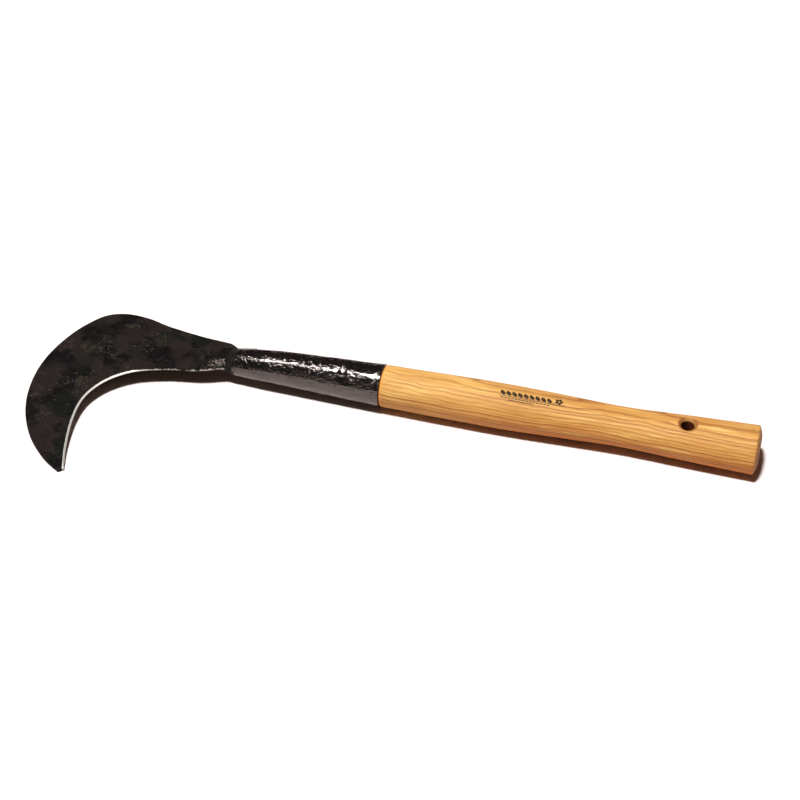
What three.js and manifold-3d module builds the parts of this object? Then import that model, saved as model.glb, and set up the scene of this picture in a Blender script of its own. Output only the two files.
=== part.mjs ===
// Brush hook, a one-hand socketed slasher, in millimetres with Z up.
// A forged crescent blade has its tang closed into a rolled conical socket and welded there. An ash
// handle is driven into the socket and held by one nail. The tool lies as it does when put down: its
// handle along X with the butt towards +X, its hook opening towards -Y, on the socket's mouth, the
// butt and the blade's tip.
//
// Every piece is modelled in the tool's own frame, with its origin at the centre of the socket's
// mouth, its blade in the XY plane and Z across the blade. The last lines roll the tool onto its
// blade's tip and stand it on the origin.

import * as THREE from 'three';
import { mergeVertices } from 'three/addons/utils/BufferGeometryUtils.js';
import Module from 'manifold-3d';

const wasm = await Module();
wasm.setup();

// Driving dimensions.
const GAP = 0.3; // between pieces that touch on the real tool
const SIDES = 48; // corners round a handle or socket section
const ROLL = THREE.MathUtils.degToRad(6.15); // the lying tool's turn about its handle, onto the blade's tip

const BLADE_Z = -1; // blade's middle plane below the handle's axis
const BLADE_NECK_THICKNESS = 3;
const BLADE_TIP_THICKNESS = 2.2;
const BLADE_STATIONS = 72;
const BACK_ROUNDING = 0.8;
const EDGE_THICKNESS = 0.5;
const BEVEL_WIDTH = 3.4;
const BACK_ARC_CENTRE = new THREE.Vector2(-180, -53);
const BACK_ARC_RADIUS = 116;
const BACK_ARC_TIP_ANGLE = THREE.MathUtils.degToRad(242.9);
const BACK_ARC_CROWN_ANGLE = THREE.MathUtils.degToRad(141);
const SHOULDER_X = -138.2; // where the blade narrows to its tang
const TANG_END_X = -104;
const TANG_HALF_WIDTH = 8.2;
const TANG_THICKNESS = 2.6;

const SOCKET_MOUTH_RADIUS = 18.8;
const SOCKET_WALL = 1.8;
const SOCKET_NOSE_X = -137.6;

const BEAD_LENGTH = 6.2; // of the weld fillet along the tool
const BEAD_STATIONS = 16;

const SHOULDER_GAP = 0.5; // from the socket's rim to the handle's shoulder
const BUTT_RIM_X = 315.6; // where the grip ends and the butt's domed end starts
const BUTT_END = [[0, -1.2], [0.4, -0.35], [1.3, 0.2], [4.5, 1.5], [8, 2.4], [10.5, 2.8]]; // [inset, past the rim]
const TENON_LENGTH = 92;
const HOLE_FROM_BUTT = 60.4;
const HOLE_RADIUS = 5.4;
const HOLE_MOUTH_ROUNDING = 3.2;

const NAIL_X = -33;
const NAIL_LEAN = THREE.MathUtils.degToRad(26); // from the blade's normal, towards the edge side
const NAIL_HEAD_RADIUS = 4.2;
const NAIL_HEAD_HEIGHT = 1.5;
const NAIL_SHANK_RADIUS = 1.7;
const NAIL_LENGTH = 26;

const FORGED_STEEL = new THREE.MeshStandardMaterial({ color: 0x241f1c, roughness: 0.45, metalness: 0.8 });
const LACQUERED_STEEL = new THREE.MeshStandardMaterial({ color: 0x161312, roughness: 0.25, metalness: 0.5 });
const WELD_STEEL = new THREE.MeshStandardMaterial({ color: 0x2c2624, roughness: 0.5, metalness: 0.7 });
const ASH = new THREE.MeshStandardMaterial({ color: 0xe0a860, roughness: 0.5, metalness: 0 });

// A closed geometry from its corner points and from faces that list them.
function geometryOf(points, faces) {
  const geometry = new THREE.BufferGeometry();
  geometry.setAttribute('position', new THREE.Float32BufferAttribute(points.flatMap((p) => [p.x, p.y, p.z]), 3));
  geometry.setIndex(faces.flat());
  geometry.computeVertexNormals();
  return geometry;
}

// The faces between two neighbouring rings of equal length.
function band(first, second, count) {
  const faces = [];
  for (let i = 0; i < count; i += 1) {
    const j = (i + 1) % count;
    faces.push([first + i, second + j, second + i], [first + i, first + j, second + j]);
  }
  return faces;
}

// A solid through rings of points, each ring turning right-handed about the way from first to last.
// The ends are closed by fans.
function loft(rings) {
  const count = rings[0].length;
  const faces = rings.slice(1).flatMap((_, k) => band(k * count, (k + 1) * count, count));
  const last = (rings.length - 1) * count;
  for (let i = 1; i < count - 1; i += 1) {
    faces.push([0, i + 1, i], [last, last + i, last + i + 1]);
  }
  return geometryOf(rings.flat(), faces);
}

// A solid with a way through it: its last ring joins its first.
function loftLoop(rings) {
  const count = rings[0].length;
  const faces = rings.flatMap((_, k) => band(k * count, ((k + 1) % rings.length) * count, count));
  return geometryOf(rings.flat(), faces);
}

// An oval ring across the handle's axis, seen right-handed about -X.
function oval(x, halfWidth, halfDepth, z = 0) {
  return Array.from({ length: SIDES }, (_, i) => {
    const angle = (-2 * Math.PI * i) / SIDES;
    return new THREE.Vector3(x, halfWidth * Math.cos(angle), z + halfDepth * Math.sin(angle));
  });
}

function solidOf(geometry) {
  const bare = geometry.clone();
  bare.deleteAttribute('normal');
  bare.deleteAttribute('uv');
  const merged = mergeVertices(bare, 1e-4);
  return new wasm.Manifold(new wasm.Mesh({
    numProp: 3,
    vertProperties: new Float32Array(merged.attributes.position.array),
    triVerts: new Uint32Array(merged.index.array),
  }));
}

function cutAway(geometry, ...cutters) {
  let solid = solidOf(geometry);
  for (const cutter of cutters) {
    solid = solid.subtract(solidOf(cutter));
  }
  const mesh = solid.getMesh();
  const result = new THREE.BufferGeometry();
  result.setAttribute('position', new THREE.BufferAttribute(new Float32Array(mesh.vertProperties), 3));
  result.setIndex(new THREE.BufferAttribute(new Uint32Array(mesh.triVerts), 1));
  result.computeVertexNormals();
  return result;
}

// Half sizes along an axis, eased between the stations that shape them.
function profile(stations) {
  const curve = new THREE.CatmullRomCurve3(stations.map(([x, a, b]) => new THREE.Vector3(x, a, b)));
  return (t) => curve.getPoint(t);
}

// The convex back, from the tip round the crown to the neck.
function backCurve() {
  const arc = new THREE.EllipseCurve(
    BACK_ARC_CENTRE.x, BACK_ARC_CENTRE.y, BACK_ARC_RADIUS, BACK_ARC_RADIUS,
    BACK_ARC_TIP_ANGLE, BACK_ARC_CROWN_ANGLE, true,
  );
  const crownStart = arc.getPoint(1);
  const tangent = arc.getTangent(1);
  const shoulder = new THREE.Vector2(-211, 28.2);
  const neck = new THREE.Vector2(-142.5, 18.1);
  const path = new THREE.CurvePath();
  path.add(arc);
  path.add(new THREE.CubicBezierCurve(
    crownStart, crownStart.clone().addScaledVector(tangent, 22), new THREE.Vector2(-232, 35.3), shoulder,
  ));
  path.add(new THREE.CubicBezierCurve(
    shoulder, new THREE.Vector2(-192, 22.6), new THREE.Vector2(-165, 20.2), neck,
  ));
  return path;
}

// The concave cutting edge, from the tip to the neck.
function edgeCurve() {
  return new THREE.SplineCurve([
    [-228.8, -152.5], [-237, -128], [-243.6, -98], [-244, -73], [-234.6, -51.4],
    [-216, -34.6], [-190, -25], [-162, -19.7], [-142.5, -12.6],
  ].map(([x, y]) => new THREE.Vector2(x, y)));
}

// One section of the blade, from its back to its edge, with a bevel on both cheeks.
function bladeSection(back, edge, thickness, bevel, edgeThickness) {
  const across = edge.clone().sub(back);
  const width = across.length();
  across.normalize();
  const outline = [
    [0, thickness / 2 - BACK_ROUNDING],
    [BACK_ROUNDING, thickness / 2],
    [width - bevel, thickness / 2 - 0.2],
    [width, edgeThickness / 2],
  ];
  const underside = outline.toReversed().map(([s, z]) => [s, -z]);
  return [...outline, ...underside].map(([s, z]) => {
    const p = back.clone().addScaledVector(across, s);
    return new THREE.Vector3(p.x, p.y, BLADE_Z + z);
  });
}

function blade() {
  const back = backCurve();
  const edge = edgeCurve();
  const rings = [];
  for (let i = 0; i <= BLADE_STATIONS; i += 1) {
    const t = i / BLADE_STATIONS;
    const backPoint = back.getPointAt(t);
    const edgePoint = edge.getPointAt(t);
    const thickness = THREE.MathUtils.lerp(BLADE_TIP_THICKNESS, BLADE_NECK_THICKNESS, t);
    const bevel = Math.min(BEVEL_WIDTH, 0.4 * backPoint.distanceTo(edgePoint));
    rings.push(bladeSection(backPoint, edgePoint, thickness, bevel, EDGE_THICKNESS));
  }
  const across = (x, backY, edgeY, thickness) => bladeSection(
    new THREE.Vector2(x, backY), new THREE.Vector2(x, edgeY), thickness, 1, thickness - 1,
  );
  rings.push(across(SHOULDER_X, 16.4, -12, BLADE_NECK_THICKNESS));
  rings.push(across(SHOULDER_X + 0.2, TANG_HALF_WIDTH, -TANG_HALF_WIDTH, TANG_THICKNESS));
  rings.push(across(TANG_END_X, TANG_HALF_WIDTH, -TANG_HALF_WIDTH, TANG_THICKNESS));
  return loft(rings);
}

// The socket's outside: half width, half depth and centre height along X. It is round from the mouth
// to the first station past it and is hammered flatter and lower towards the blade.
const SOCKET_STATIONS = [
  [0, SOCKET_MOUTH_RADIUS, SOCKET_MOUTH_RADIUS, 0],
  [-44, 17.1, 17.1, 0],
  [-85, 15.5, 15.4, 0],
  [-97, 15.3, 14.9, 0],
  [-108, 14.9, 13.7, -0.3],
  [-120, 14.3, 11.8, -1.1],
  [-130, 13.9, 10.6, -1.7],
  [-134, 13.5, 8.9, -1.6],
  [SOCKET_NOSE_X, 12.6, 5.6, -1.1],
];

function socket() {
  const outside = SOCKET_STATIONS.map(([x, a, b, z]) => oval(x, a, b, z));
  const inside = SOCKET_STATIONS.map(([x, a, b, z]) => oval(x, a - SOCKET_WALL, b - SOCKET_WALL, z));
  return cutAway(loftLoop([...outside, ...inside.toReversed()]), nailClearance());
}

// A weld fillet on one cheek of the blade, in front of the socket's nose.
function weldBead(side) {
  const [, noseHalfWidth, noseHalfDepth, noseZ] = SOCKET_STATIONS.at(-1);
  const base = BLADE_Z + side * (BLADE_NECK_THICKNESS / 2 + GAP);
  const rings = [];
  for (let i = 0; i <= BEAD_STATIONS; i += 1) {
    const y = THREE.MathUtils.lerp(-0.8, 0.8, i / BEAD_STATIONS) * noseHalfWidth;
    const noseTop = noseZ + side * noseHalfDepth * Math.sqrt(1 - (y / noseHalfWidth) ** 2);
    const height = Math.max(Math.abs(noseTop - base), 0.5);
    const length = BEAD_LENGTH * (0.7 + 0.3 * Math.cos(((y / noseHalfWidth) * Math.PI) / 2));
    const ring = [[0, 0], [0, 1], [-0.25, 0.82], [-0.6, 0.4], [-1, 0.1], [-1, 0]].map(([u, v]) => (
      new THREE.Vector3(SOCKET_NOSE_X - GAP + u * length, y, base + side * v * height)
    ));
    rings.push(side > 0 ? ring.toReversed() : ring);
  }
  return loft(rings);
}

const HANDLE_STATIONS = [
  [SHOULDER_GAP, 18.2, 18.1],
  [55, 19.5, 18.2],
  [110, 20.2, 18.2],
  [160, 19, 16.7],
  [208, 18.1, 15.4],
  [260, 20.3, 17.2],
  [BUTT_RIM_X, 22.2, 18.8],
];

function handleHalfSizes(x) {
  const shape = profile(HANDLE_STATIONS);
  let low = 0;
  let high = 1;
  while (high - low > 1e-6) {
    const middle = (low + high) / 2;
    if (shape(middle).x < x) {
      low = middle;
    } else {
      high = middle;
    }
  }
  return shape(low);
}

function handle() {
  const tenonRadius = (x) => {
    const outside = THREE.MathUtils.mapLinear(x, 0, -85, SOCKET_MOUTH_RADIUS, 15.4);
    return outside - SOCKET_WALL - GAP;
  };
  const tenon = [-TENON_LENGTH, -60, -30, SHOULDER_GAP].map((x) => oval(x, tenonRadius(x), tenonRadius(x)));
  tenon.unshift(oval(-TENON_LENGTH - 2, tenonRadius(-TENON_LENGTH) - 2, tenonRadius(-TENON_LENGTH) - 2));
  const grip = [];
  const steps = 30;
  for (let i = 0; i <= steps; i += 1) {
    const x = THREE.MathUtils.lerp(SHOULDER_GAP + 1, BUTT_RIM_X - 3, i / steps);
    const size = handleHalfSizes(x);
    grip.push(oval(x, size.y, size.z));
  }
  const shoulder = oval(SHOULDER_GAP, HANDLE_STATIONS[0][1] - 0.7, HANDLE_STATIONS[0][2] - 0.7);
  const butt = BUTT_END.map(([inset, past]) => {
    const size = handleHalfSizes(Math.min(BUTT_RIM_X + past, BUTT_RIM_X));
    return oval(BUTT_RIM_X + past, size.y - inset, size.z - inset);
  });
  const body = loft([...tenon, shoulder, ...grip, ...butt].toReversed());
  return cutAway(body, hangingHole(), nailClearance());
}

// The hanging hole's cutter: a bore through the thin way, with rounded mouths.
function hangingHole() {
  const x = BUTT_RIM_X + BUTT_END.at(-1)[1] - HOLE_FROM_BUTT;
  const surface = handleHalfSizes(x).z;
  const quarter = [];
  for (let i = 0; i <= 4; i += 1) {
    const angle = (i / 4) * (Math.PI / 2);
    quarter.push(new THREE.Vector2(
      HOLE_RADIUS + HOLE_MOUTH_ROUNDING * (1 - Math.cos(angle)),
      surface - HOLE_MOUTH_ROUNDING * (1 - Math.sin(angle)),
    ));
  }
  const top = surface + 4;
  const upper = [...quarter, new THREE.Vector2(HOLE_RADIUS + HOLE_MOUTH_ROUNDING, top), new THREE.Vector2(0, top)];
  const lower = upper.toReversed().map((p) => new THREE.Vector2(p.x, -p.y));
  const cutter = new THREE.LatheGeometry([...lower, ...upper], 24);
  return cutter.rotateX(Math.PI / 2).translate(x, 0, 0);
}

// Turns and moves a shape made about Z with its base at z = 0 to the nail's place on the socket.
function placeAtNail(geometry) {
  const surface = THREE.MathUtils.mapLinear(NAIL_X, 0, -44, SOCKET_MOUTH_RADIUS, 17.1);
  return geometry.translate(0, 0, surface + GAP).rotateX(NAIL_LEAN).translate(NAIL_X, 0, 0);
}

function nailClearance() {
  const radius = NAIL_SHANK_RADIUS + GAP;
  const bore = new THREE.CylinderGeometry(radius, radius, NAIL_LENGTH + 4, 16);
  return placeAtNail(bore.rotateX(Math.PI / 2).translate(0, 0, 1 - NAIL_LENGTH / 2));
}

function socketNail() {
  const points = [
    [0, -NAIL_LENGTH], [NAIL_SHANK_RADIUS, -NAIL_LENGTH + 4], [NAIL_SHANK_RADIUS, 0], [NAIL_HEAD_RADIUS, 0],
    [NAIL_HEAD_RADIUS, 0.5], [NAIL_HEAD_RADIUS * 0.85, 1], [NAIL_HEAD_RADIUS * 0.5, 1.35], [0, NAIL_HEAD_HEIGHT],
  ].map(([r, z]) => new THREE.Vector2(r, z));
  return placeAtNail(new THREE.LatheGeometry(points, 24).rotateX(Math.PI / 2));
}

function addPiece(group, name, geometry, material) {
  const piece = new THREE.Mesh(geometry, material);
  piece.name = name;
  group.add(piece);
}

const tool = new THREE.Group();
addPiece(tool, 'blade', blade(), FORGED_STEEL);
addPiece(tool, 'socket', socket(), LACQUERED_STEEL);
addPiece(tool, 'weld_bead_upper', weldBead(1), WELD_STEEL);
addPiece(tool, 'weld_bead_lower', weldBead(-1), WELD_STEEL);
addPiece(tool, 'handle', handle(), ASH);
addPiece(tool, 'socket_nail', socketNail(), LACQUERED_STEEL);
tool.rotation.x = ROLL;

const brushHook = new THREE.Group();
brushHook.add(tool);
brushHook.updateMatrixWorld(true);
const box = new THREE.Box3().setFromObject(brushHook, true);
tool.position.set(-(box.min.x + box.max.x) / 2, -(box.min.y + box.max.y) / 2, -box.min.z);

export default brushHook;
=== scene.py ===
"""Looks of the brush hook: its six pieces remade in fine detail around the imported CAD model.

Pieces are modelled in the tool's own frame, with the origin at the centre of the socket's mouth, X
along the handle towards the butt, the blade in the XY plane and Z across the blade. seat() then rolls
a finished piece onto the blade's tip and puts it where the CAD model lies. Sizes are in millimetres
until then.
"""

import math
from itertools import pairwise

import bmesh
import bpy
from mathutils import Euler, Matrix, Vector


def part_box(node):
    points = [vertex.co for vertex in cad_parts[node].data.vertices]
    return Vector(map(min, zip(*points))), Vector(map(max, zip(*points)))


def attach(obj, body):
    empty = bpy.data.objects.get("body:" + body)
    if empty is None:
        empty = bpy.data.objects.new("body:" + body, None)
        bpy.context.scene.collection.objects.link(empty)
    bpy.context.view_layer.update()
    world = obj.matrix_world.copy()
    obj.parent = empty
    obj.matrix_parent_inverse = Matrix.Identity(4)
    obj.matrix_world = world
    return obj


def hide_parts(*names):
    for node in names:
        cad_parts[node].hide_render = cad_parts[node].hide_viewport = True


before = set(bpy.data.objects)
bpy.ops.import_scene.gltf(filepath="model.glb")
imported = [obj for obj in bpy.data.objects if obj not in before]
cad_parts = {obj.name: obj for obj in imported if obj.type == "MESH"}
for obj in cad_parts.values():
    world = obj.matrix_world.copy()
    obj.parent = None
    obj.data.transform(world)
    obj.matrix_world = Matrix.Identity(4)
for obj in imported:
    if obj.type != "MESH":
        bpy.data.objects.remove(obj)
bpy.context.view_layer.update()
for stray in bpy.context.selected_objects:
    stray.select_set(False)

MM = 0.001
ROLL = math.radians(6.15)
SOCKET_LOW, SOCKET_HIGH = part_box("socket")
MOUTH_CENTRE = Vector((SOCKET_HIGH.x, (SOCKET_LOW.y + SOCKET_HIGH.y) / 2, SOCKET_HIGH.z / 2))

# Blade.
BLADE_Z = -1.0
NECK_THICKNESS = 3.0
TIP_THICKNESS = 2.1
BACK_ROUNDING = 0.7
EDGE_THICKNESS = 0.5
BEVEL_WIDTH = 2.3
BACK_CENTRE = Vector((-180, -53))
BACK_RADIUS = 115.9
SHARE_IN_BEND = 0.42
NECK_ANGLE = 60
TAPER_ANGLE = 183
# Tang and neck: upper and lower side at stations along X, and the sharp side where there is one.
NECK_ROWS = [
    (-105, 8.2, -8.2, None), (-121, 8.2, -8.2, None), (-128, 8.2, -8.2, None), (-131, 12.6, -11, None),
    (-134.5, 14, -11.5, None), (-138.2, 16.1, -11.7, -12), (-140.3, 17.2, -11.5, -12.3),
]

# Socket: half width, half depth and centre height at stations along X.
MOUTH_RADIUS = 18.7
SOCKET_WALL = 1.8
LAP_THICKNESS = 0.5
LAP_ANGLES = (30, 74)
LAP_STRETCH = (-117, -1)
SOCKET_STATIONS = [
    (0, MOUTH_RADIUS, MOUTH_RADIUS, 0),
    (-44, 17.1, 17.1, 0),
    (-85, 15.5, 15.4, 0),
    (-101, 14.9, 14.3, -0.4),
    (-112, 14.2, 13.7, -1.0),
    (-122, 13.5, 12.9, -1.6),
    (-129, 13.0, 11.6, -1.9),
    (-134, 12.7, 9.4, -1.8),
    (-138, 12.2, 6.6, -1.5),
    (-141.5, 11.2, 3.8, -1.2),
    (-143.5, 9.8, 2.1, -1.0),
]

# Butt: how far in from the rim's outline the surface lies, and how far past the rim.
RIM_X = 315.6
BUTT_END = [
    (0, -1.2), (0.15, -0.7), (0.4, -0.35), (0.8, 0), (1.3, 0.2), (2.8, 0.85),
    (4.5, 1.45), (6.2, 1.95), (8, 2.3), (9.3, 2.5), (10.5, 2.58), (15, 2.6),
]

# Handle and tenon: half width, half depth and centre height at stations along X.
HANDLE_STATIONS = [
    (3.4, 18.2, 18.1, 0),
    (55, 19.45, 18.15, 0),
    (110, 20.15, 18.15, 0),
    (160, 18.95, 16.65, 0),
    (208, 18.05, 15.35, 0),
    (260, 20.25, 17.15, 0),
    (RIM_X - 1.2, 22.1, 18.65, 0),
]
TENON_STATIONS = [
    (-30, 15.2, 15.2, 0), (-60, 14.2, 14.2, 0), (-85, 13.3, 13.2, 0),
    (-90.5, 13.1, 12.4, 0), (-92, 12, 11.3, 0),
]
TENON_RADIUS = 16.4
# Shoulder's rounding: how far back and how far in.
SHOULDER_ROUNDING = [(1.2, 0.15), (2.1, 0.5), (2.6, 0.9), (2.9, 1.4)]
HOLE_X = 258.0
HOLE_RADIUS = 5.5
HOLE_FLARE = 3.6

# Weld beads.
BEAD_X = -141.5
BEAD_FROM_Y = -11.2
BEAD_LENGTH = 22.2
BEAD_STEPS = 44

# Nail and the dent round its head.
NAIL_X = -33.0
NAIL_LEAN = math.radians(26)
NAIL_TILT = math.radians(10)
NAIL_BASE = 17.35
NAIL_HEAD_RADIUS = 4.5
NAIL_SHANK_RADIUS = 1.7
NAIL_LENGTH = 24.0
SOCKET_RADIUS_AT_NAIL = 17.4
NAIL_SEAT_RADIUS = 3.2
NAIL_SEAT_SPREAD = 5.5
NAIL_SEAT_DEPTH = 0.55

# Where the socket's lacquer gives way to soot towards the nose, along X.
SOOT_FROM_TO = (-129, -132.5)

# Ash: how the growth rings lie in the handle. Past a certain radius they are wider.
PITH_DISTANCE = 70
RING_TILT = math.radians(35)
RING_WIDTH = 2.7
WIDE_RINGS_FROM = 85.0
GRIP_X = 160

# Motif: the radius on which it is laid out, and where it starts and ends along X.
MOTIF_RADIUS = 19.0
MOTIF_START = 102.0
MOTIF_END = 158
LEAVES_END = 146.1
LEAF_PITCH = 4.9
DASH_PITCH = 3.0
FLOWER_X = 151.6

# Light and camera. Azimuth 0 is in front, 90 to the right.
FLOOR_COLOUR = (0.64, 0.575, 0.56)
LAMP_ENERGY = 5.8
LAMP_SIZE = 8
LAMP_AZIMUTH = -45
LAMP_ELEVATION = 75
SIDE_LAMP_ENERGY = 0.6
SIDE_LAMP_AZIMUTH = -71
SIDE_LAMP_ELEVATION = 63
FILL_COLOUR = (1, 0.64, 0.48)
FILL_STRENGTH = 0.09
REFLECTED_COLOUR = (1, 0.9, 0.86)
REFLECTED_STRENGTH = 0.04
LENS = 76.5
CAMERA_AZIMUTH = 15.15
CAMERA_ELEVATION = 40
CAMERA_DISTANCE = 1.445
CAMERA_AIM = Vector((0.01604, -0.0039, 0.00935))


# ---------------------------------------------------------------- modelling tools


def begin(name):
    """Names the primitive that was just added, puts its place in its mesh and opens it for editing."""
    piece = bpy.context.object
    piece.name = name
    piece.data.name = name
    bpy.ops.object.transform_apply(location=True, rotation=True, scale=True)
    bpy.ops.object.mode_set(mode="EDIT")
    return piece


def clear_selection():
    bpy.ops.object.select_all(action="DESELECT")


def select(piece, kind, wanted):
    """In edit mode, selects only the verts, edges or faces that wanted() accepts."""
    bpy.ops.mesh.select_mode(type=kind)
    bpy.ops.mesh.select_all(action="DESELECT")
    mesh = bmesh.from_edit_mesh(piece.data)
    parts = {"VERT": mesh.verts, "EDGE": mesh.edges, "FACE": mesh.faces}[kind]
    for part in parts:
        if wanted(part):
            part.select_set(True)
    mesh.select_flush_mode()
    bmesh.update_edit_mesh(piece.data)


def middle(part):
    """The middle of an edge or face."""
    return sum((v.co for v in part.verts), Vector()) / len(part.verts)


def fair(stations, step):
    """Stations about step apart on a smooth curve through the given ones."""
    ends = [stations[0], *stations, stations[-1]]
    result = []
    for p0, p1, p2, p3 in zip(ends, ends[1:], ends[2:], ends[3:]):
        pieces = max(1, round(abs(p2[0] - p1[0]) / step))
        for i in range(pieces):
            result.append(tuple(catmull(p0, p1, p2, p3, i / pieces)))
    return [*result, stations[-1]]


def catmull(p0, p1, p2, p3, t):
    """A point at t of the way from p1 to p2 on a Catmull-Rom curve."""
    return [
        b + 0.5 * t * (c - a + t * (2 * a - 5 * b + 4 * c - d + t * (3 * (b - c) + d - a)))
        for a, b, c, d in zip(p0, p1, p2, p3)
    ]


def draw_out(stations):
    """Extrudes the selected end ring or cap through the stations."""
    for (x0, a0, b0, z0), (x1, a1, b1, z1) in pairwise(stations):
        bpy.ops.mesh.extrude_region_move(TRANSFORM_OT_translate={"value": (x1 - x0, 0, z1 - z0)})
        bpy.ops.transform.resize(value=(1, a1 / a0, b1 / b0), center_override=(x1, 0, z1))


def start_ring(name, station, sides, fill):
    """A ring or disc across X at a station, open for editing and selected."""
    x, half_width, half_depth, z = station
    clear_selection()
    bpy.ops.mesh.primitive_circle_add(
        vertices=sides, radius=1, fill_type=fill, location=(x, 0, z), rotation=(0, math.pi / 2, 0)
    )
    piece = begin(name)
    bpy.ops.mesh.select_all(action="SELECT")
    bpy.ops.transform.resize(value=(1, half_width, half_depth), center_override=(x, 0, z))
    return piece


def build_up(name, x, rows, sides):
    """A round piece along Z at x, raised through rows of height and radius, open for editing."""
    clear_selection()
    height, radius = rows[0]
    bpy.ops.mesh.primitive_circle_add(
        vertices=sides, radius=radius, fill_type="NGON", location=(x, 0, height)
    )
    piece = begin(name)
    bpy.ops.mesh.select_all(action="SELECT")
    for (z0, r0), (z1, r1) in pairwise(rows):
        bpy.ops.mesh.extrude_region_move(TRANSFORM_OT_translate={"value": (0, 0, z1 - z0)})
        bpy.ops.transform.resize(value=(r1 / r0, r1 / r0, 1), center_override=(x, 0, z1))
    return piece


def finish_editing(piece):
    """Merges doubles, turns every face outwards and leaves edit mode."""
    bpy.ops.mesh.select_all(action="SELECT")
    bpy.ops.mesh.remove_doubles(threshold=0.002)
    bpy.ops.mesh.normals_make_consistent(inside=False)
    bpy.ops.object.mode_set(mode="OBJECT")
    return piece


def modify(piece, kind, **settings):
    """Adds a modifier with these settings and applies it."""
    clear_selection()
    piece.select_set(True)
    bpy.context.view_layer.objects.active = piece
    modifier = piece.modifiers.new(kind.title(), kind)
    for key, value in settings.items():
        setattr(modifier, key, value)
    bpy.ops.object.modifier_apply(modifier=modifier.name)


def dent(piece, size, depth, group=""):
    """Uneven forging: pushes the surface in and out by up to about half of depth, in lumps of that size."""
    texture = bpy.data.textures.new("lumps", "CLOUDS")
    texture.noise_scale = size
    texture.noise_depth = 2
    modify(
        piece, "DISPLACE", texture=texture, strength=depth, mid_level=0.5,
        texture_coords="LOCAL", vertex_group=group,
    )
    bpy.data.textures.remove(texture)


def seat(piece, smooth_angle=40):
    """Shades a finished piece and moves it from the tool's frame to where the tool lies."""
    clear_selection()
    piece.select_set(True)
    bpy.context.view_layer.objects.active = piece
    bpy.ops.object.shade_smooth_by_angle(angle=math.radians(smooth_angle))
    turn = Matrix.Rotation(ROLL, 4, "X")
    piece.matrix_world = Matrix.Translation(MOUTH_CENTRE) @ turn @ Matrix.Scale(MM, 4)
    bpy.ops.object.transform_apply(location=True, rotation=True, scale=True)
    return piece


def stand_for(piece, node, material):
    """Gives a piece its material and puts it in its CAD node's place."""
    piece.data.materials.clear()
    piece.data.materials.append(material)
    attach(piece, "root")
    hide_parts(node)


# ---------------------------------------------------------------- outlines


class Outline:
    """A plane curve through sampled points, read by its share of length."""

    def __init__(self, points):
        self.points = [Vector(p) for p in points]
        self.lengths = [0.0]
        for a, b in pairwise(self.points):
            self.lengths.append(self.lengths[-1] + (b - a).length)

    def at(self, share):
        goal = share * self.lengths[-1]
        for i, (low, high) in enumerate(pairwise(self.lengths)):
            if goal <= high:
                return self.points[i].lerp(self.points[i + 1], (goal - low) / (high - low))
        return self.points[-1]

    def distance(self, place):
        """How far a place is from the curve."""
        nearest = math.inf
        for a, b in pairwise(self.points):
            along = b - a
            t = min(1.0, max(0.0, (place - a).dot(along) / along.length_squared))
            nearest = min(nearest, (a + t * along - place).length)
        return nearest

    def passes(self, place):
        return self.distance(place) < 0.01


def bezier(a, b, c, d, count=24):
    a, b, c, d = (Vector(p) for p in (a, b, c, d))
    for i in range(1, count + 1):
        t = i / count
        yield (1 - t) ** 3 * a + 3 * t * (1 - t) ** 2 * b + 3 * t * t * (1 - t) * c + t ** 3 * d


def blade_back():
    """The convex back, from the tip round the crown to the neck."""
    tip, crown = math.radians(242.9), math.radians(141)
    arc = [
        BACK_CENTRE + BACK_RADIUS * Vector((math.cos(a), math.sin(a)))
        for a in (tip + (crown - tip) * i / 60 for i in range(61))
    ]
    along = Vector((math.sin(crown), -math.cos(crown)))
    shoulder, neck = (-211, 28.2), (-142.5, 18.1)
    crest = bezier(arc[-1], arc[-1] + 22 * along, (-232, 35.3), shoulder)
    slope = bezier(shoulder, (-192, 22.6), (-165, 20.2), neck)
    return Outline([*arc, *crest, *slope])


def blade_edge():
    """The concave cutting edge, from the tip to the neck."""
    points = [
        (-228.8, -152.5), (-237, -128), (-243.6, -98), (-244, -73), (-234.6, -51.4),
        (-216, -34.6), (-190, -25), (-162, -19.7), (-142.5, -12.6),
    ]
    ends = [points[0], *points, points[-1]]
    result = []
    for p0, p1, p2, p3 in zip(ends, ends[1:], ends[2:], ends[3:]):
        result += [catmull(p0, p1, p2, p3, i / 12) for i in range(12)]
    return Outline([*result, points[-1]])


# ---------------------------------------------------------------- pieces


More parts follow.
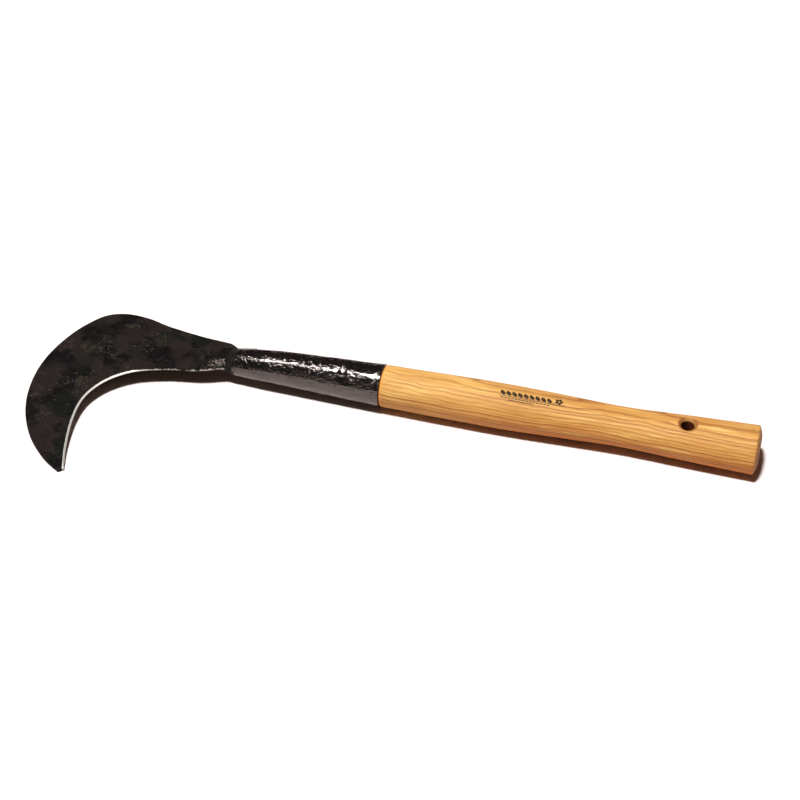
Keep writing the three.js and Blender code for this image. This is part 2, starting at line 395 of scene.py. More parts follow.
def make_blade():
    """Draws the cheeks out as a sheet from the tang to the tip, adds the ground edge and thickens it."""
    back, edge = blade_back(), blade_edge()
    lines = [
        (Vector((x, upper)), Vector((x, lower)), sharp and Vector((x, sharp)))
        for x, upper, lower, sharp in NECK_ROWS
    ]
    for i in range(121):
        share = 1 - i / 120
        outer, sharp = back.at(share), edge.at(share)
        inset = (outer - sharp).normalized() * bevel_width(share)
        lines.append((outer, sharp + inset, sharp))

    first, second, _ = lines[0]
    centre = (first + second) / 2
    clear_selection()
    bpy.ops.mesh.primitive_plane_add(size=1, location=(centre.x + 0.5, 0, BLADE_Z))
    blade = begin("forged_blade")
    bpy.ops.mesh.select_all(action="SELECT")
    bpy.ops.transform.resize(value=(1, (first - second).length, 1), center_override=(centre.x, 0, BLADE_Z))
    select(blade, "EDGE", lambda e: middle(e).x < centre.x + 0.1)
    for (outer0, inner0, _), (outer1, inner1, _) in pairwise(lines):
        draw_line(outer0, inner0, outer1, inner1)

    select(blade, "EDGE", lambda e: not e.is_boundary)
    bpy.ops.mesh.subdivide(number_cuts=15)
    ground = [line for line in lines if line[2]]
    inner_row = Outline([inner for _, inner, _ in ground])
    select(blade, "EDGE", lambda e: e.is_boundary and all(inner_row.passes(v.co.xy) for v in e.verts))
    bpy.ops.mesh.extrude_region_move()
    for _, inner, sharp in ground:
        select(blade, "VERT", lambda v: v.is_boundary and (v.co.xy - inner).length < 0.02)
        bpy.ops.transform.translate(value=(sharp.x - inner.x, sharp.y - inner.y, 0))
    finish_editing(blade)

    thin = blade.vertex_groups.new(name="thickness")
    sharp_row = Outline([sharp for _, _, sharp in ground])
    for v in blade.data.vertices:
        thickness = NECK_THICKNESS + (TIP_THICKNESS - NECK_THICKNESS) * towards_tip(v.co)
        if sharp_row.passes(v.co.xy):
            thickness = EDGE_THICKNESS
        thin.add([v.index], thickness / NECK_THICKNESS, "REPLACE")
    modify(blade, "SOLIDIFY", thickness=NECK_THICKNESS, offset=0, vertex_group=thin.name)

    bpy.ops.object.mode_set(mode="EDIT")
    select(blade, "EDGE", lambda e: e.calc_face_angle(0) > math.radians(74))
    bpy.ops.mesh.bevel(offset=BACK_ROUNDING, segments=3, affect="EDGES", clamp_overlap=True)
    finish_editing(blade)
    modify(blade, "SUBSURF", subdivision_type="SIMPLE", levels=1, render_levels=1)
    keep = blade.vertex_groups.new(name="cheeks")
    for v in blade.data.vertices:
        keep.add([v.index], min(1.0, sharp_row.distance(v.co.xy) / 4), "REPLACE")
    dent(blade, 26, 0.5, group=keep.name)
    dent(blade, 7, 0.22, group=keep.name)

    distance = blade.data.attributes.new("from_edge", "FLOAT", "POINT")
    for v in blade.data.vertices:
        distance.data[v.index].value = sharp_row.distance(v.co.xy)
    blade.vertex_groups.clear()
    return seat(blade, 35)


def bevel_width(share):
    """How far the grinding reaches in from the edge: widest in the bend, narrow at the neck."""
    bend = math.exp(-(((share - SHARE_IN_BEND) / 0.3) ** 2))
    return BEVEL_WIDTH * (0.25 + 0.75 * bend)


def towards_tip(place):
    """0 at the neck and 1 at the tip, by the angle round the back's centre."""
    angle = math.degrees(math.atan2(place.y - BACK_CENTRE.y, place.x - BACK_CENTRE.x)) % 360
    return min(1.0, max(0.0, (angle - NECK_ANGLE) / TAPER_ANGLE))


def draw_line(outer0, inner0, outer1, inner1):
    """Extrudes the selected end edge from one line across the blade to the next."""
    step = (outer1 + inner1 - outer0 - inner0) / 2
    centre = ((outer1.x + inner1.x) / 2, (outer1.y + inner1.y) / 2, BLADE_Z)
    across0, across1 = outer0 - inner0, outer1 - inner1
    growth = across1.length / across0.length
    bpy.ops.mesh.extrude_region_move(TRANSFORM_OT_translate={"value": (step.x, step.y, 0)})
    bpy.ops.transform.resize(value=(growth, growth, 1), center_override=centre)
    bpy.ops.transform.rotate(value=across0.angle_signed(across1), orient_axis="Z", center_override=centre)


def make_socket():
    """A cone drawn down to a flat oval nose, hammered, lapped along its seam and given its wall."""
    socket = start_ring("rolled_socket", SOCKET_STATIONS[0], 96, "NOTHING")
    draw_out(fair(SOCKET_STATIONS, 2.2))
    bpy.ops.mesh.edge_face_add()
    bpy.ops.mesh.inset(thickness=0.8)
    finish_editing(socket)
    dent(socket, 16, 0.55)
    dent(socket, 6, 0.2)

    bpy.ops.object.mode_set(mode="EDIT")
    inwards = Vector((0, math.sin(NAIL_LEAN), -math.cos(NAIL_LEAN)))
    nail = Vector((NAIL_X, 0, 0)) - SOCKET_RADIUS_AT_NAIL * inwards
    select(socket, "VERT", lambda v: (v.co - nail).length < NAIL_SEAT_RADIUS)
    bpy.ops.transform.translate(
        value=NAIL_SEAT_DEPTH * inwards, use_proportional_edit=True,
        proportional_edit_falloff="SMOOTH", proportional_size=NAIL_SEAT_SPREAD,
    )
    select(socket, "FACE", is_lap)
    bpy.ops.mesh.extrude_region_shrink_fatten(TRANSFORM_OT_shrink_fatten={"value": -LAP_THICKNESS})
    finish_editing(socket)
    modify(socket, "SOLIDIFY", thickness=SOCKET_WALL, offset=-1)
    bpy.ops.object.mode_set(mode="EDIT")
    select(socket, "EDGE", lambda e: all(v.co.x > -0.6 for v in e.verts) and e.calc_face_angle(0) > 1)
    bpy.ops.mesh.bevel(offset=0.45, segments=3, affect="EDGES")
    finish_editing(socket)
    return seat(socket, 32)


def is_lap(face):
    """Is this face on the lap where the rolled plate covers its other edge?"""
    place = middle(face)
    angle = math.degrees(math.atan2(place.y, place.z))
    return LAP_ANGLES[0] < angle < LAP_ANGLES[1] and LAP_STRETCH[0] < place.x < LAP_STRETCH[1]


def make_handle():
    """Turns the handle from its butt to the end of its tenon, then bores the hanging hole."""
    _, rim_width, rim_depth, _ = HANDLE_STATIONS[-1]
    butt = [(RIM_X + past, rim_width - inset, rim_depth - inset, 0) for inset, past in reversed(BUTT_END)]
    body = fair(HANDLE_STATIONS, 3)[::-1]
    x, width, depth, _ = HANDLE_STATIONS[0]
    shoulder = [(x - back, width - inset, depth - inset, 0) for back, inset in SHOULDER_ROUNDING]
    tenon = [(shoulder[-1][0], TENON_RADIUS, TENON_RADIUS, 0), *TENON_STATIONS]
    stations = [*butt, *body[1:], *shoulder, *tenon]
    handle = start_ring("ash_handle", stations[0], 96, "NGON")
    draw_out(stations)
    finish_editing(handle)
    modify(handle, "SUBSURF", levels=1, render_levels=1)
    dent(handle, 38, 0.5)

    hole = make_hole_cutter()
    modify(handle, "BOOLEAN", object=hole, operation="DIFFERENCE", solver="EXACT")
    bpy.data.objects.remove(hole)
    return seat(handle, 50)


def make_hole_cutter():
    """A bore across the handle whose mouths open out in a rounded flare."""
    _, half_width, half_depth, _ = HANDLE_STATIONS[5]
    flare = [
        (half_depth - HOLE_FLARE * (1 - math.sin(a)), HOLE_RADIUS + HOLE_FLARE * (1 - math.cos(a)))
        for a in (math.radians(d) for d in range(0, 76, 15))
    ]
    above = [(half_depth + past, HOLE_RADIUS + wide * HOLE_FLARE) for past, wide in ((0.5, 1.35), (4, 1.6))]
    upper = [*flare, *above]
    lower = [(-height, radius) for height, radius in reversed(upper)]
    cutter = build_up("hole_cutter", HOLE_X, [*lower, *upper], 64)
    finish_editing(cutter)
    for v in cutter.data.vertices:
        v.co.z *= math.sqrt(max(0.1, 1 - (v.co.y / half_width) ** 2))
    return cutter


def make_bead(side):
    """A run of weld across the neck on one side of the blade: a half-buried, rippled roll with spatter."""
    cheek = BLADE_Z + side * NECK_THICKNESS / 2
    rows = []
    for i in range(BEAD_STEPS + 1):
        y = BEAD_FROM_Y + BEAD_LENGTH * i / BEAD_STEPS
        swell = math.sqrt(1 - (y / 12) ** 2)
        ripple = 0.14 * math.sin(i * 1.9) + 0.1 * math.sin(i * 0.83 + 1)
        rows.append((y, 3.0 + 5.4 * swell + ripple, 0.8 + 2.6 * swell + 0.6 * ripple))
    clear_selection()
    bpy.ops.mesh.primitive_circle_add(
        vertices=32, radius=1, fill_type="NGON", location=(BEAD_X, rows[0][0], cheek),
        rotation=(math.pi / 2, 0, 0),
    )
    bead = begin("weld_upper" if side > 0 else "weld_lower")
    for reach, lowered in ((0.1, 0.92), (-0.15, 0.8), (-0.35, 0.74), (-0.55, 0.68), (-0.8, 0.6)):
        select(bead, "VERT", lambda v: v.co.x < BEAD_X + reach)
        bpy.ops.transform.resize(value=(1, 1, lowered), center_override=(BEAD_X, rows[0][0], cheek))
    bpy.ops.mesh.select_all(action="SELECT")
    bpy.ops.transform.resize(value=(rows[0][1], 1, rows[0][2]), center_override=(BEAD_X, rows[0][0], cheek))
    for (y0, a0, b0), (y1, a1, b1) in pairwise(rows):
        bpy.ops.mesh.extrude_region_move(TRANSFORM_OT_translate={"value": (0, y1 - y0, 0)})
        bpy.ops.transform.resize(value=(a1 / a0, 1, b1 / b0), center_override=(BEAD_X, y1, cheek))
    finish_editing(bead)
    modify(bead, "SUBSURF", levels=1, render_levels=1)
    dent(bead, 4.0, 0.7)
    dent(bead, 1.2, 0.2)
    return seat(bead, 60)


def make_nail():
    """A wire nail with a hammered, domed head, driven through the socket's wall into the tenon."""
    rows = [
        (-NAIL_LENGTH, 0.3), (-NAIL_LENGTH + 3, NAIL_SHANK_RADIUS), (-1.1, NAIL_SHANK_RADIUS),
        (-1.0, 0.9 * NAIL_HEAD_RADIUS), (-0.6, NAIL_HEAD_RADIUS), (0.1, NAIL_HEAD_RADIUS),
        (0.5, 0.96 * NAIL_HEAD_RADIUS), (0.72, 0.84 * NAIL_HEAD_RADIUS), (0.5, 0.64 * NAIL_HEAD_RADIUS),
        (0.22, 0.42 * NAIL_HEAD_RADIUS), (0.12, 0.16 * NAIL_HEAD_RADIUS),
    ]
    rows = [(NAIL_BASE + height, radius) for height, radius in rows]
    nail = build_up("driven_nail", NAIL_X, rows, 32)
    bpy.ops.mesh.select_all(action="SELECT")
    bpy.ops.transform.rotate(value=NAIL_TILT, orient_axis="X", center_override=(NAIL_X, 0, NAIL_BASE))
    bpy.ops.transform.rotate(value=-NAIL_LEAN, orient_axis="X", center_override=(NAIL_X, 0, 0))
    finish_editing(nail)
    modify(nail, "SUBSURF", levels=1, render_levels=1)
    dent(nail, 2.2, 0.12)
    return seat(nail, 45)


# ---------------------------------------------------------------- materials


class Signal:
    """A node's output. An operator on it adds the Math node that does the sum."""

    def __init__(self, finish, socket):
        self.finish = finish
        self.socket = socket

    def math(self, operation, *others):
        values = {0: self, **dict(enumerate(others, 1))}
        return self.finish.node("ShaderNodeMath", {"operation": operation}, values)

    def __add__(self, other):
        return self.math("ADD", other)

    __radd__ = __add__

    def __mul__(self, other):
        return self.math("MULTIPLY", other)

    __rmul__ = __mul__

    def __sub__(self, other):
        return self.math("SUBTRACT", other)

    def __rsub__(self, other):
        return self * -1 + other

    def __truediv__(self, other):
        return self.math("DIVIDE", other)

    def __abs__(self):
        return self.math("ABSOLUTE")

    def most(self, other):
        return self.math("MAXIMUM", other)

    def ramp(self, low, high):
        """Smoothly from 0 at low to 1 at high, whichever of the two is the greater."""
        (least, at_least), (most, at_most) = sorted([(low, 0.0), (high, 1.0)])
        values = {"Value": self, "From Min": least, "From Max": most, "To Min": at_least, "To Max": at_most}
        return self.finish.node("ShaderNodeMapRange", {"interpolation_type": "SMOOTHSTEP"}, values)


class Finish:
    """A procedural material. Its patterns are laid out in the tool's own frame, in millimetres."""

    def __init__(self, name):
        self.material = bpy.data.materials.new(name)
        self.material.use_nodes = True
        self.nodes = self.material.node_tree.nodes
        self.links = self.material.node_tree.links
        self.shader = self.nodes["Principled BSDF"]
        place = self.node("ShaderNodeTexCoord", {}, {}, "Object")
        turn = Matrix.Rotation(-ROLL, 3, "X")
        values = {"Vector": place, "Location": turn @ MOUTH_CENTRE / -MM}
        values |= {"Rotation": (-ROLL, 0, 0), "Scale": (1 / MM,) * 3}
        self.place = self.node("ShaderNodeMapping", {"vector_type": "POINT"}, values)
        split = self.node("ShaderNodeSeparateXYZ", {}, {"Vector": self.place}, None)
        self.x, self.y, self.z = (Signal(self, split.outputs[i]) for i in range(3))

    def node(self, kind, settings, values, output=0):
        """Adds a node: its settings first, then the values or links of its sockets."""
        made = self.nodes.new(kind)
        for key, value in settings.items():
            setattr(made, key, value)
        for key, value in values.items():
            self.give(made.inputs[key], value)
        if output is None:
            return made
        return Signal(self, made.outputs[output])

    def give(self, socket, value):
        if isinstance(value, Signal):
            self.links.new(value.socket, socket)
        else:
            socket.default_value = value

    def set(self, **values):
        """Sets the shader's sockets, named with underscores."""
        for key, value in values.items():
            self.give(self.shader.inputs[key.replace("_", " ")], value)

    def noise(self, scale, detail=2.0, roughness=0.5, stretch=None, place=None):
        """Noise from about 0 to 1 with lumps 1 / scale mm across, along each axis by stretch."""
        place = place or self.place
        if stretch:
            place = self.node("ShaderNodeVectorMath", {"operation": "MULTIPLY"}, {0: place, 1: stretch})
        values = {"Vector": place, "Scale": scale, "Detail": detail, "Roughness": roughness}
        return self.node("ShaderNodeTexNoise", {}, values)

    def mix(self, share, low, high):
        """low where share is 0 and high where it is 1. Both are colours."""
        made = self.node("ShaderNodeMix", {"data_type": "RGBA"}, {0: share}, None)
        self.give(made.inputs[6], low)
        self.give(made.inputs[7], high)
        return Signal(self, made.outputs[2])

    def bump(self, height, depth):
        """A normal for a surface whose height, from 0 to 1, is depth mm."""
        values = {"Height": height, "Distance": depth * MM, "Strength": 1.0}
        return self.node("ShaderNodeBump", {}, values)

    def cover(self, share, **values):
        """Lays a second finish over the first where share is 1."""
        under = Signal(self, self.shader.outputs[0])
        values = {key.replace("_", " "): value for key, value in values.items()}
        over = self.node("ShaderNodeBsdfPrincipled", {}, values)
        both = self.node("ShaderNodeMixShader", {}, {0: share, 1: under, 2: over})
        self.give(self.nodes["Material Output"].inputs["Surface"], both)


def colour(red, green, blue):
    """A display colour, from 0 to 255, as the shader's linear one."""
    shares = [c / 255 for c in (red, green, blue)]
    linear = [((s + 0.055) / 1.055) ** 2.4 if s > 10 / 255 else s / 12.92 for s in shares]
    return (*linear, 1.0)


def ash_rings(ash):
    """The wavering distance from the pith, and the same counted in years."""
    drift = ash.noise(0.012, 2, 0.5, (1, 2.2, 2.2)) - 0.5
    ripple = ash.noise(0.05, 1, 0.5, (0.4, 0.8, 0.8)) - 0.5
    waver = ash.noise(0.2, 1, 0.5, (0.5, 0.7, 0.7)) - 0.5
    pith_y = -PITH_DISTANCE * math.sin(RING_TILT)
    pith_z = -PITH_DISTANCE * math.cos(RING_TILT)
    across = ash.y - pith_y + (ash.x - GRIP_X) * 0.012
    through = ash.z - pith_z + (ash.x - GRIP_X) * 0.006
    radius = (across * across + through * through).math("SQRT")
    radius = radius + drift * 6.0 + ripple * 4.6 + waver * 1.0
    outer = (radius - WIDE_RINGS_FROM).most(0.0)
    uneven = ash.node("ShaderNodeTexNoise", {"noise_dimensions": "1D"}, {"W": radius, "Scale": 0.12}) * 1.6
    years = (radius - outer * 0.55) / RING_WIDTH + uneven * (1 - 0.45 * ash.z.ramp(0, -12))
    return radius, years


def make_ash():
    """Oiled ash: growth rings cut at a slant, pores in their dark parts, fibres, and an inked motif."""
    ash = Finish("oiled_ash")
    radius, years = ash_rings(ash)
    phase = years.math("FRACT")
    dark_year = ash.node("ShaderNodeTexWhiteNoise", {"noise_dimensions": "1D"}, {"W": years.math("FLOOR")})
    early = phase.ramp(0.38, 0.88) * phase.ramp(1.0, 0.9) * (0.5 + 0.5 * dark_year)
    heart = radius.ramp(74.0, 58.0)

    fibre = ash.noise(1.0, 2, 0.5, (0.014, 0.55, 0.55))
    fine = ash.noise(1.0, 1, 0.5, (0.05, 1.3, 1.3))
    pores = ash.noise(1.0, 1, 0.5, (0.08, 1.5, 1.5)).ramp(0.58, 0.7) * (0.3 + early)
    patches = ash.noise(0.018, 2, 0.5, (0.5, 1.6, 1.6))
    streaks = ash.noise(1.0, 2, 0.6, (0.02, 0.34, 0.34))
    upper = ash.z.ramp(6, 16)
    socket_end = ash.x.ramp(170, 10)
    under = ash.z.ramp(4, -13)
    far_side = ash.y.ramp(5, 17)
    plain = 1 - 0.7 * under

    base = ash.mix(patches.ramp(0.35, 0.65), colour(184, 143, 78), colour(176, 128, 64))
    wide_rings = radius.ramp(WIDE_RINGS_FROM + 0.5, WIDE_RINGS_FROM + 2)
    base = ash.mix(wide_rings * 0.7, base, colour(172, 124, 66))
    base = ash.mix(heart * 0.75, base, colour(188, 112, 50))
    base = ash.mix(socket_end * 0.5, base, colour(202, 160, 92))
    base = ash.mix(streaks.ramp(0.5, 0.72) * plain * 0.6, base, colour(210, 176, 106))
    # Painted shade, partly the wood's own tone: darker and redder towards the underside.
    base = ash.mix(under * (0.5 - 0.42 * socket_end), base, colour(186, 106, 46))
    base = ash.mix(far_side * 0.4, base, colour(166, 114, 60))
    base = ash.mix(streaks.ramp(0.5, 0.3) * plain * 0.35, base, colour(160, 108, 50))
    base = ash.mix(fibre.ramp(0.45, 0.75) * plain * 0.5, base, colour(152, 98, 42))
    base = ash.mix(fine.ramp(0.5, 0.8) * plain * 0.2, base, colour(206, 164, 96))
    late_wood = ash.mix(heart, colour(130, 80, 34), colour(112, 54, 20))
    base = ash.mix(early * (0.92 - 0.4 * upper * socket_end), base, late_wood)
    base = ash.mix(pores * plain * 0.5, base, colour(96, 52, 20))
    base = stain_and_paint_shade_at_hole_and_ends(ash, base)
    worn = ash.noise(1.0, 2, 0.6, (0.25, 3.0, 3.0)).ramp(0.34, 0.5) * 0.12 + 0.86
    base = ash.mix(inked_motif(ash) * worn, base, colour(14, 7, 3))
    height = (streaks * 0.6 - abs(phase - 0.5)) * plain
    ash.set(Base_Color=base, Roughness=0.56 + 0.14 * fine, Specular_IOR_Level=0.2)
    ash.set(Normal=ash.bump(height, 0.05))
    return ash.material


def stain_and_paint_shade_at_hole_and_ends(ash, base):
    """Browns the hole's lip and the end grain, partly as painted shade; paints shade in the hole and at the
    socket's mouth; marks the shoulder.
    """
    along = ash.x - HOLE_X
    from_axis = (along * along + ash.y * ash.y).math("SQRT")
    # The hole's lip, darker at its sides than in its middle: partly the oiled end grain's own colour,
    # partly painted shade.
    lip = abs(from_axis - HOLE_RADIUS - 1.6).ramp(2.2, 0.0) * (0.1 + 0.85 * abs(along).ramp(1.5, 5))
    base = ash.mix(lip, base, colour(122, 74, 34))
    # Painted shade: darker deeper inside the hole.
    inside = from_axis.ramp(HOLE_RADIUS + 1.6, HOLE_RADIUS + 0.8) * ash.z.ramp(15.0, 12.5)
    base = ash.mix(inside * 0.94, base, colour(84, 32, 16))
    # The butt's end darker: partly the end grain's own colour, partly painted shade.
    end_grain_and_painted_shade = ash.x.ramp(RIM_X - 0.1, RIM_X + 0.9)
    base = ash.mix(end_grain_and_painted_shade * 0.6, base, colour(132, 74, 38))
    shoulder = ash.x.ramp(3.2, 2.0)
    base = ash.mix(shoulder * 0.6, base, colour(206, 132, 58))
    # Painted shade: a dark band in the gap at the socket's mouth.
    return ash.mix(ash.x.ramp(1.1, 0.6) * 0.8, base, colour(52, 26, 10))


def inked_motif(ash):
    """A printed sprig: a row of slanted leaves on a stem that ends in a small flower, over thin bars."""
    u = ash.x
    v = ash.y.math("ARCTAN2", ash.z) * MOTIF_RADIUS

    def edge(distance):
        return distance.ramp(0.12, -0.12)

    def between(value, low, high):
        return edge(abs(value - (low + high) / 2) - (high - low) / 2)

    def from_middle_of_step(start, pitch):
        return ((u - start) / pitch).math("FRACT") * pitch - pitch / 2

    slant = from_middle_of_step(MOTIF_START, LEAF_PITCH) + (v + 1.4) * 0.45
    share_up = abs(v + 1.4) / 2.75
    leaves = edge(abs(slant) - (2.1 - 2.1 * share_up * share_up)) * between(u, MOTIF_START, LEAVES_END)
    stem = between(u, MOTIF_START, MOTIF_END) * between(v, -5.0, -4.45)
    dashes = edge(abs(from_middle_of_step(MOTIF_START + 1, DASH_PITCH)) - 1.2)
    dashes = dashes * between(u, MOTIF_START + 1, LEAVES_END - 1.1) * between(v, -6.8, -5.9)
    thin_bar = between(u, 110, 131) * between(v, -8.6, -7.9)
    along = u - FLOWER_X
    up = v + 0.4
    away = (along * along + up * up).math("SQRT")
    petals = (up.math("ARCTAN2", along) * 5).math("COSINE")
    flower = edge(away - 3.1 - petals * 0.7) * (1 - edge(away - 0.8))
    return leaves.most(stem).most(dashes).most(thin_bar).most(flower) * ash.z.ramp(0, 1)


def lacquer_finish(name, wear_line=None, dust_reflection_and_soot=False):
    """Thick glossy black lacquer over hammered steel, with specks, worn spots, a dusty lower front that is
    partly a painted reflection, and a sooty nose.
    """
    lacquer = Finish(name)
    broad = lacquer.noise(0.16, 2, 0.5)
    pits = lacquer.noise(0.4, 2, 0.4)
    craters = lacquer.noise(0.55, 1, 0.4).ramp(0.52, 0.74)
    orange_peel = lacquer.noise(2.2, 2, 0.5)
    drawn = lacquer.noise(1.0, 2, 0.5, (0.1, 0.9, 0.9))
    specks = lacquer.noise(1.9, 1, 0.4).ramp(0.7, 0.76)
    base = lacquer.mix(broad.ramp(0.3, 0.7), colour(8, 6, 6), colour(14, 11, 10))
    base = lacquer.mix(specks * 0.5, base, colour(60, 50, 42))
    if wear_line:
        base = lacquer.mix(wear_line(lacquer), base, colour(120, 104, 90))
    if dust_reflection_and_soot:
        # Dusty patches on the lower front side, lighter and mauve-grey: partly real dustiness, partly a
        # painted reflection of the floor.
        dust_and_painted_reflection = lacquer.noise(1.0, 3, 0.6, (0.1, 0.6, 0.6)).ramp(0.46, 0.66) * lacquer.y.ramp(-9, -15)
        base = lacquer.mix(dust_and_painted_reflection * 0.5, base, colour(78, 68, 65))
    height = broad * 0.55 + pits * 0.3 - craters * 0.3 + drawn * 0.1 + orange_peel * 0.03
    rough = 0.05 + 0.06 * pits + 0.08 * craters
    lacquer.set(Base_Color=base, Roughness=rough, IOR=1.8, Specular_Tint=(1, 0.9, 0.86, 1))
    relief = lacquer.bump(height, 0.5)
    lacquer.set(Normal=relief)
    if dust_reflection_and_soot:
        nose = lacquer.x + (pits - 0.5) * 9.0
        soot = lacquer.mix(pits.ramp(0.4, 0.6), colour(6, 5, 4), colour(15, 12, 11))
        soot = lacquer.mix(specks, soot, colour(52, 46, 40))
        lacquer.cover(
            nose.ramp(*SOOT_FROM_TO), Base_Color=soot, Roughness=0.5 + 0.3 * pits,
            Specular_IOR_Level=0.14, Normal=relief,
        )
    return lacquer.material


def rim_wear(lacquer):
    """Lacquer rubbed through in places at the mouth's rim."""
    patchy = lacquer.noise(0.5, 2, 0.6).ramp(0.5, 0.62)
    return lacquer.x.ramp(-0.5, -0.1) * patchy * 0.6


def make_scale():
    """Forge scale under thin oil, nearly black and mottled, with the edge ground to bare steel whose light
    grey is partly painted sheen.
    """
    scale = Finish("forge_scale")
    elsewhere = scale.node("ShaderNodeVectorMath", {"operation": "ADD"}, {0: scale.place, 1: (90, 40, 0)})
    mottle = scale.noise(0.04, 3, 0.6)
    tint = scale.noise(0.028, 2, 0.5, place=elsewhere)
    hammer = scale.noise(0.13, 2, 0.5)
    crust = scale.noise(0.9, 4, 0.65)
    scratch = scale.noise(1.0, 2, 0.5, (0.14, 0.9, 0.9)).ramp(0.72, 0.78)
    base = scale.mix(mottle.ramp(0.43, 0.57), colour(3, 2, 2), colour(25, 18, 16))
    base = scale.mix(tint.ramp(0.5, 0.62) * 0.6, base, colour(13, 14, 8))
    base = scale.mix(tint.ramp(0.48, 0.36) * 0.5, base, colour(17, 10, 11))
    clusters = scale.noise(0.045, 3, 0.6).ramp(0.5, 0.6) * (1 - 0.5 * scale.x.ramp(-215, -190))
    flecks = scale.noise(0.18, 4, 0.7, (0.7, 1, 1)).ramp(0.53, 0.6) * (0.1 + 0.9 * clusters)
    grey_flecks = scale.noise(0.4, 5, 0.72, (1, 0.8, 1), place=elsewhere).ramp(0.56, 0.61)
    base = scale.mix(flecks * 0.55, base, colour(42, 37, 27))
    base = scale.mix(grey_flecks * (0.1 + 0.6 * clusters), base, colour(58, 53, 48))
    base = scale.mix(scratch * 0.6, base, colour(112, 104, 96))
    by_weld = scale.x.ramp(-157, -150) * scale.y.ramp(-3, -7)
    filed = scale.noise(0.7, 3, 0.6, (0.7, 1, 1)).ramp(0.53, 0.58) * by_weld
    base = scale.mix(filed * 0.7, base, colour(116, 108, 100))

    from_edge = scale.node("ShaderNodeAttribute", {"attribute_name": "from_edge"}, {}, "Fac")
    ragged = scale.noise(0.35, 3, 0.6) - 0.5
    towards_neck = scale.x.ramp(-228, -190)
    reach = 1.4 - 1.2 * towards_neck + ragged * (0.8 + 1.9 * towards_neck)
    ground = (from_edge - reach).ramp(0.25, -0.25)
    lines = scale.noise(1.0, 2, 0.6, (2.4, 2.4, 2.4))
    # The ground edge: bare steel's own light grey, made partly diffuse so that it stays bright from any
    # side, which is painted sheen.
    steel = scale.mix(lines, colour(150, 146, 140), colour(226, 222, 214))
    steel = scale.mix(towards_neck * 0.35, steel, colour(104, 96, 90))
    base = scale.mix(ground, base, steel)
    height = hammer * 0.8 + crust * 0.16 + scratch * -0.06
    dull = 0.38 + 0.22 * crust + 0.2 * mottle.ramp(0.4, 0.6)
    rough = dull * (1 - ground) + ground * (0.42 + 0.15 * lines)
    scale.set(Base_Color=base, Roughness=rough, Metallic=ground * 0.5, Specular_IOR_Level=0.08)
    scale.set(Normal=scale.bump(height, 0.3))
    return scale.material


def make_weld():
    """Black-painted weld: rough, lumpy and a little rusty."""
    weld = Finish("painted_weld")
    lumps = weld.noise(0.7, 3, 0.6)
    grit = weld.noise(2.6, 3, 0.6)
    base = weld.mix(lumps.ramp(0.35, 0.7), colour(4, 3, 3), colour(13, 9, 8))
    base = weld.mix(grit.ramp(0.62, 0.75) * 0.6, base, colour(72, 60, 50))
    shine = weld.y.ramp(-4, -8)
    bare = weld.noise(0.7, 3, 0.6).ramp(0.5, 0.56) * weld.y.ramp(-2, -6) * weld.x.ramp(-136, -142)
    base = weld.mix(bare * 0.8, base, colour(128, 118, 110))
    weld.set(Base_Color=base, Roughness=(0.55 + 0.3 * grit) * (1 - 0.6 * shine), Specular_IOR_Level=0.08)
    weld.set(Normal=weld.bump(lumps * 0.5 + grit * 0.25, 0.5))
    return weld.material


# ---------------------------------------------------------------- setting


def make_setting():
    """A white floor, a strong and a weak lamp high on the left, pale surroundings and the camera."""
    clear_selection()
    bpy.ops.mesh.primitive_plane_add(size=14, location=(0, 0, 0))
    floor = bpy.context.object
    floor.name = "floor"
    paper = Finish("white_paper")
    paper.set(Base_Color=(*FLOOR_COLOUR, 1.0), Roughness=0.9)
    floor.data.materials.append(paper.material)

    add_lamp("high_lamp", LAMP_ENERGY, LAMP_AZIMUTH, LAMP_ELEVATION)
    add_lamp("side_lamp", SIDE_LAMP_ENERGY, SIDE_LAMP_AZIMUTH, SIDE_LAMP_ELEVATION)
    make_surroundings()
    bpy.context.scene.view_settings.view_transform = "Standard"
    place_camera()


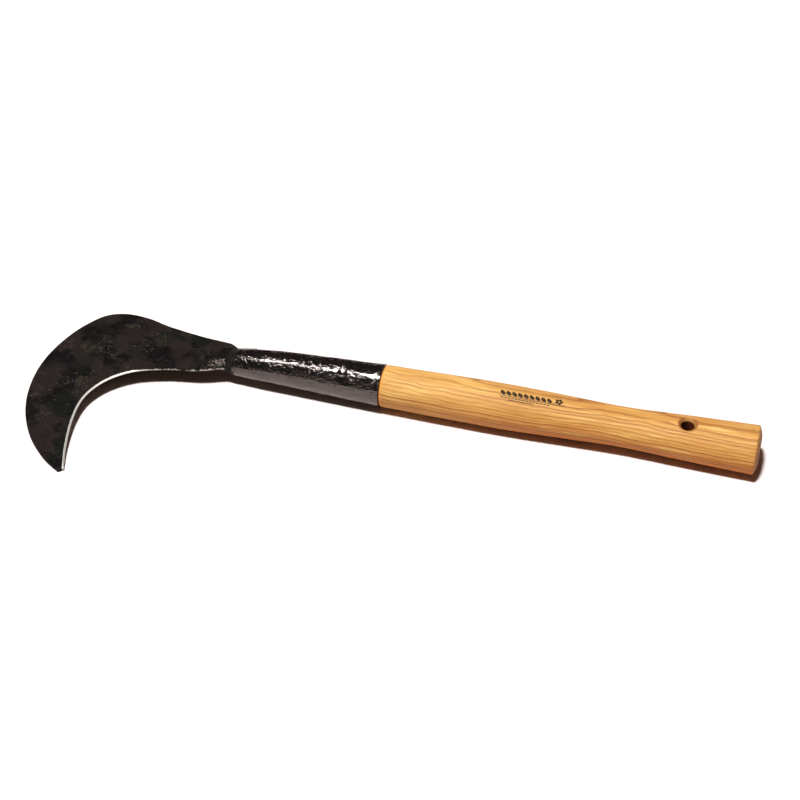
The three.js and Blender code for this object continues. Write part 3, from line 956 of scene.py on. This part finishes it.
def make_surroundings():
    """White where the camera looks past the tool, and a dim warm fill on the tool itself."""
    world = bpy.data.worlds.new("pale_room")
    world.use_nodes = True
    nodes, links = world.node_tree.nodes, world.node_tree.links
    fill = nodes["Background"]
    dim = nodes.new("ShaderNodeBackground")
    seen = nodes.new("ShaderNodeBackground")
    tints = (FILL_COLOUR, REFLECTED_COLOUR, (1, 1, 1))
    strengths = (FILL_STRENGTH, REFLECTED_STRENGTH, 1)
    for glow, tint, strength in zip((fill, dim, seen), tints, strengths):
        glow.inputs["Color"].default_value = (*tint, 1)
        glow.inputs["Strength"].default_value = strength
    path = nodes.new("ShaderNodeLightPath")
    unseen = nodes.new("ShaderNodeMixShader")
    choice = nodes.new("ShaderNodeMixShader")
    links.new(path.outputs["Is Glossy Ray"], unseen.inputs[0])
    links.new(fill.outputs[0], unseen.inputs[1])
    links.new(dim.outputs[0], unseen.inputs[2])
    links.new(path.outputs["Is Camera Ray"], choice.inputs[0])
    links.new(unseen.outputs[0], choice.inputs[1])
    links.new(seen.outputs[0], choice.inputs[2])
    links.new(choice.outputs[0], nodes["World Output"].inputs["Surface"])
    bpy.context.scene.world = world


def place_camera():
    camera = bpy.data.cameras.new("camera")
    camera.sensor_width = 36
    camera.lens = LENS
    camera.clip_end = 20
    camera_object = bpy.data.objects.new("camera", camera)
    bpy.context.scene.collection.objects.link(camera_object)
    camera_object.rotation_euler = looking_from(CAMERA_AZIMUTH, CAMERA_ELEVATION)
    aim = MOUTH_CENTRE * Vector((1, 1, 0)) + CAMERA_AIM
    back = camera_object.rotation_euler.to_matrix() @ Vector((0, 0, 1))
    camera_object.location = aim + CAMERA_DISTANCE * back
    bpy.context.scene.camera = camera_object


def add_lamp(name, energy, azimuth, elevation):
    """A broad, far lamp that shines from there."""
    lamp = bpy.data.lights.new(name, "SUN")
    lamp.energy = energy
    lamp.angle = math.radians(LAMP_SIZE)
    lamp_object = bpy.data.objects.new(name, lamp)
    bpy.context.scene.collection.objects.link(lamp_object)
    lamp_object.rotation_euler = looking_from(azimuth, elevation)


def looking_from(azimuth, elevation):
    """The rotation of a lamp or camera that looks at the tool from there. Azimuth 0 is in front."""
    return Euler((math.radians(90 - elevation), 0, math.radians(azimuth)))


make_setting()
weld = make_weld()
lacquer = lacquer_finish("socket_lacquer_finish", rim_wear, dust_reflection_and_soot=True)
stand_for(make_blade(), "blade", make_scale())
stand_for(make_socket(), "socket", lacquer)
stand_for(make_bead(1), "weld_bead_upper", weld)
stand_for(make_bead(-1), "weld_bead_lower", weld)
stand_for(make_handle(), "handle", make_ash())
stand_for(make_nail(), "socket_nail", lacquer_finish("nail_lacquer_finish"))
